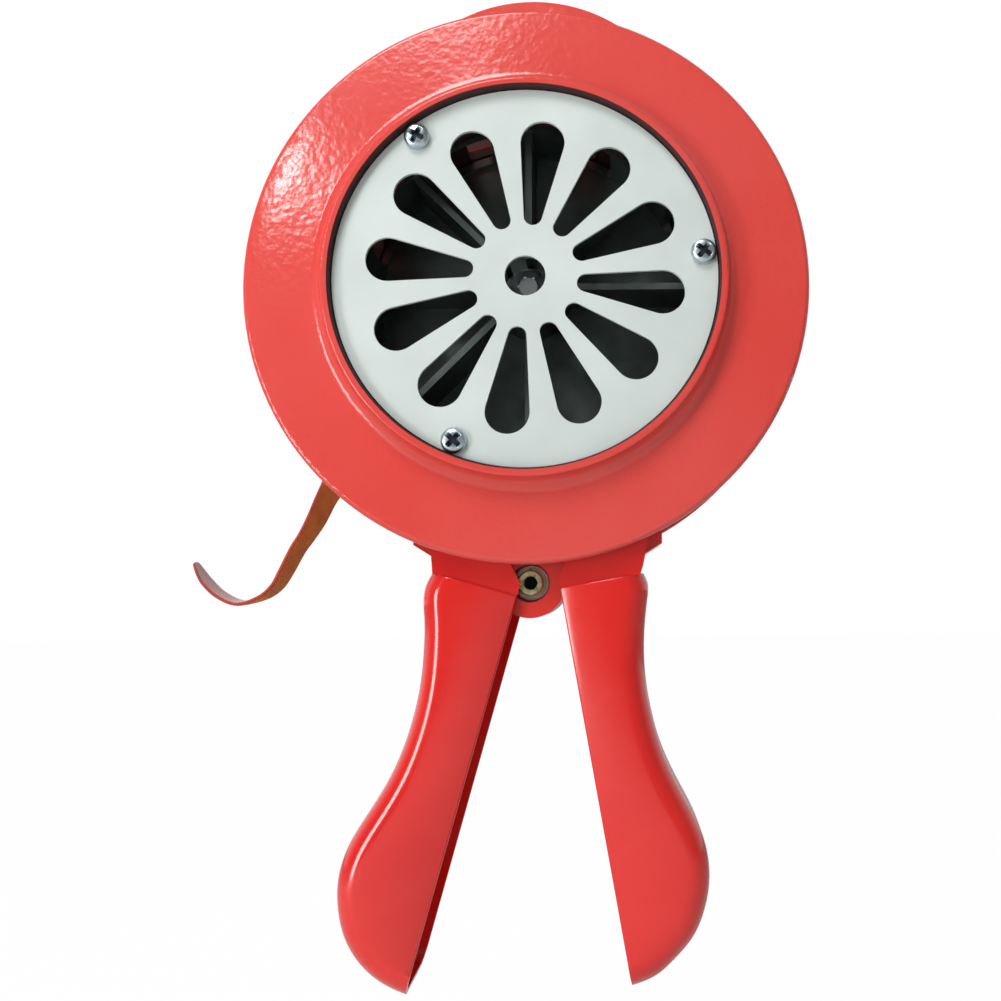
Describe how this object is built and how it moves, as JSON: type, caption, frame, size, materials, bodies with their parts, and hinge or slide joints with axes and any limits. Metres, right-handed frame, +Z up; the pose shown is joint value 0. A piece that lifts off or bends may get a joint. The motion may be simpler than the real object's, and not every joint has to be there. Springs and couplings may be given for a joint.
{
  "type": "hand crank siren",
  "caption": "Hand cranked siren with a slotted round grille, a vaned rotor in a ported drum, a geared crank and a split folding grip.",
  "frame": {"origin": "centre of the neck's lug, between the two grip halves, at the middle of the grip's depth", "axes": "+X to the right seen from the grille side, +Y back along the siren's axis towards the crank, +Z up"},
  "size_m": [0.1801, 0.1127, 0.2654],
  "materials": {
    "red_enamel": "satin baked enamel, red",
    "red_gloss": "glossy baked enamel, red",
    "grille_paint": "matt pale grey paint on sheet steel",
    "zinc_screws": "zinc plated steel",
    "yellow_zinc": "yellow passivated zinc plated steel",
    "bearing_steel": "ground bearing steel",
    "bright_steel": "bright turned steel",
    "gear_steel": "oiled machined steel",
    "cast_aluminium": "as cast, turned on the rim",
    "gasket_fibre": "thin fibre reinforced gasket",
    "bronze": "sintered bronze",
    "black_enamel": "black stoved enamel",
    "black_phenolic": "moulded black phenolic, polished",
    "strap_leather": "vegetable tanned leather, red coated on one side"
  },
  "bodies": {
    "casing": {"front_flange": "red_enamel", "grille": "grille_paint", "grille_screws": "zinc_screws", "stator_drum": "red_enamel", "lug_screw": "yellow_zinc", "lug_spring_washer": "yellow_zinc", "lug_washer": "yellow_zinc", "rear_casing": "red_enamel", "casing_screws": "zinc_screws", "front_bearing": "bearing_steel", "rear_bearing": "bearing_steel", "idler_pin": "bright_steel", "gearbox_gasket": "gasket_fibre", "gearbox_cover": "red_enamel", "cover_screws": "zinc_screws", "crank_bush": "bronze", "left_hinge_pin": "zinc_screws", "right_hinge_pin": "zinc_screws", "carry_strap": "strap_leather", "strap_washer": "zinc_screws", "strap_screw": "zinc_screws"},
    "rotor": {"rotor": "cast_aluminium", "rotor_shaft": "bright_steel", "rotor_washer": "zinc_screws", "rotor_nut": "zinc_screws", "rotor_pinion": "gear_steel"},
    "idler": {"idler_gear": "gear_steel"},
    "crank": {"crank_gear": "gear_steel", "crank_shaft": "bright_steel", "crank_washer": "zinc_screws", "crank_arm": "black_enamel", "crank_lock_washer": "zinc_screws", "crank_nut": "zinc_screws", "knob_pin": "bright_steel", "knob_washer": "zinc_screws"},
    "knob": {"knob": "black_phenolic"},
    "left_grip": {"left_grip": "red_gloss"},
    "right_grip": {"right_grip": "red_gloss"}
  },
  "joints": [
    {"name": "crank_turn", "type": "hinge", "parent": "casing", "child": "crank", "pos_m": [0, 0.0378, 0.0808], "axis": [0, 1, 0], "continuous": true},
    {"name": "idler_spin", "type": "hinge", "parent": "casing", "child": "idler", "pos_m": [0, 0.0278, 0.1116], "axis": [0, 1, 0], "continuous": true},
    {"name": "rotor_spin", "type": "hinge", "parent": "casing", "child": "rotor", "pos_m": [0, 0.0138, 0.0808], "axis": [0, 1, 0], "continuous": true},
    {"name": "knob_spin", "type": "hinge", "parent": "crank", "child": "knob", "pos_m": [0, 0.0678, 0.0228], "axis": [0, 1, 0], "continuous": true},
    {"name": "left_grip_fold", "type": "hinge", "parent": "casing", "child": "left_grip", "pos_m": [-0.0212, 0, 0.024], "axis": [0, 1, 0], "range_deg": [-15.7, 119.25]},
    {"name": "right_grip_fold", "type": "hinge", "parent": "casing", "child": "right_grip", "pos_m": [0.0294, 0, 0.024], "axis": [0, -1, 0], "range_deg": [-10.01, 124.94]}
  ],
  "couplings": [
    {"joint": "idler_spin", "follows": "crank_turn", "ratio": -4.5},
    {"joint": "rotor_spin", "follows": "crank_turn", "ratio": 20.25}
  ]
}
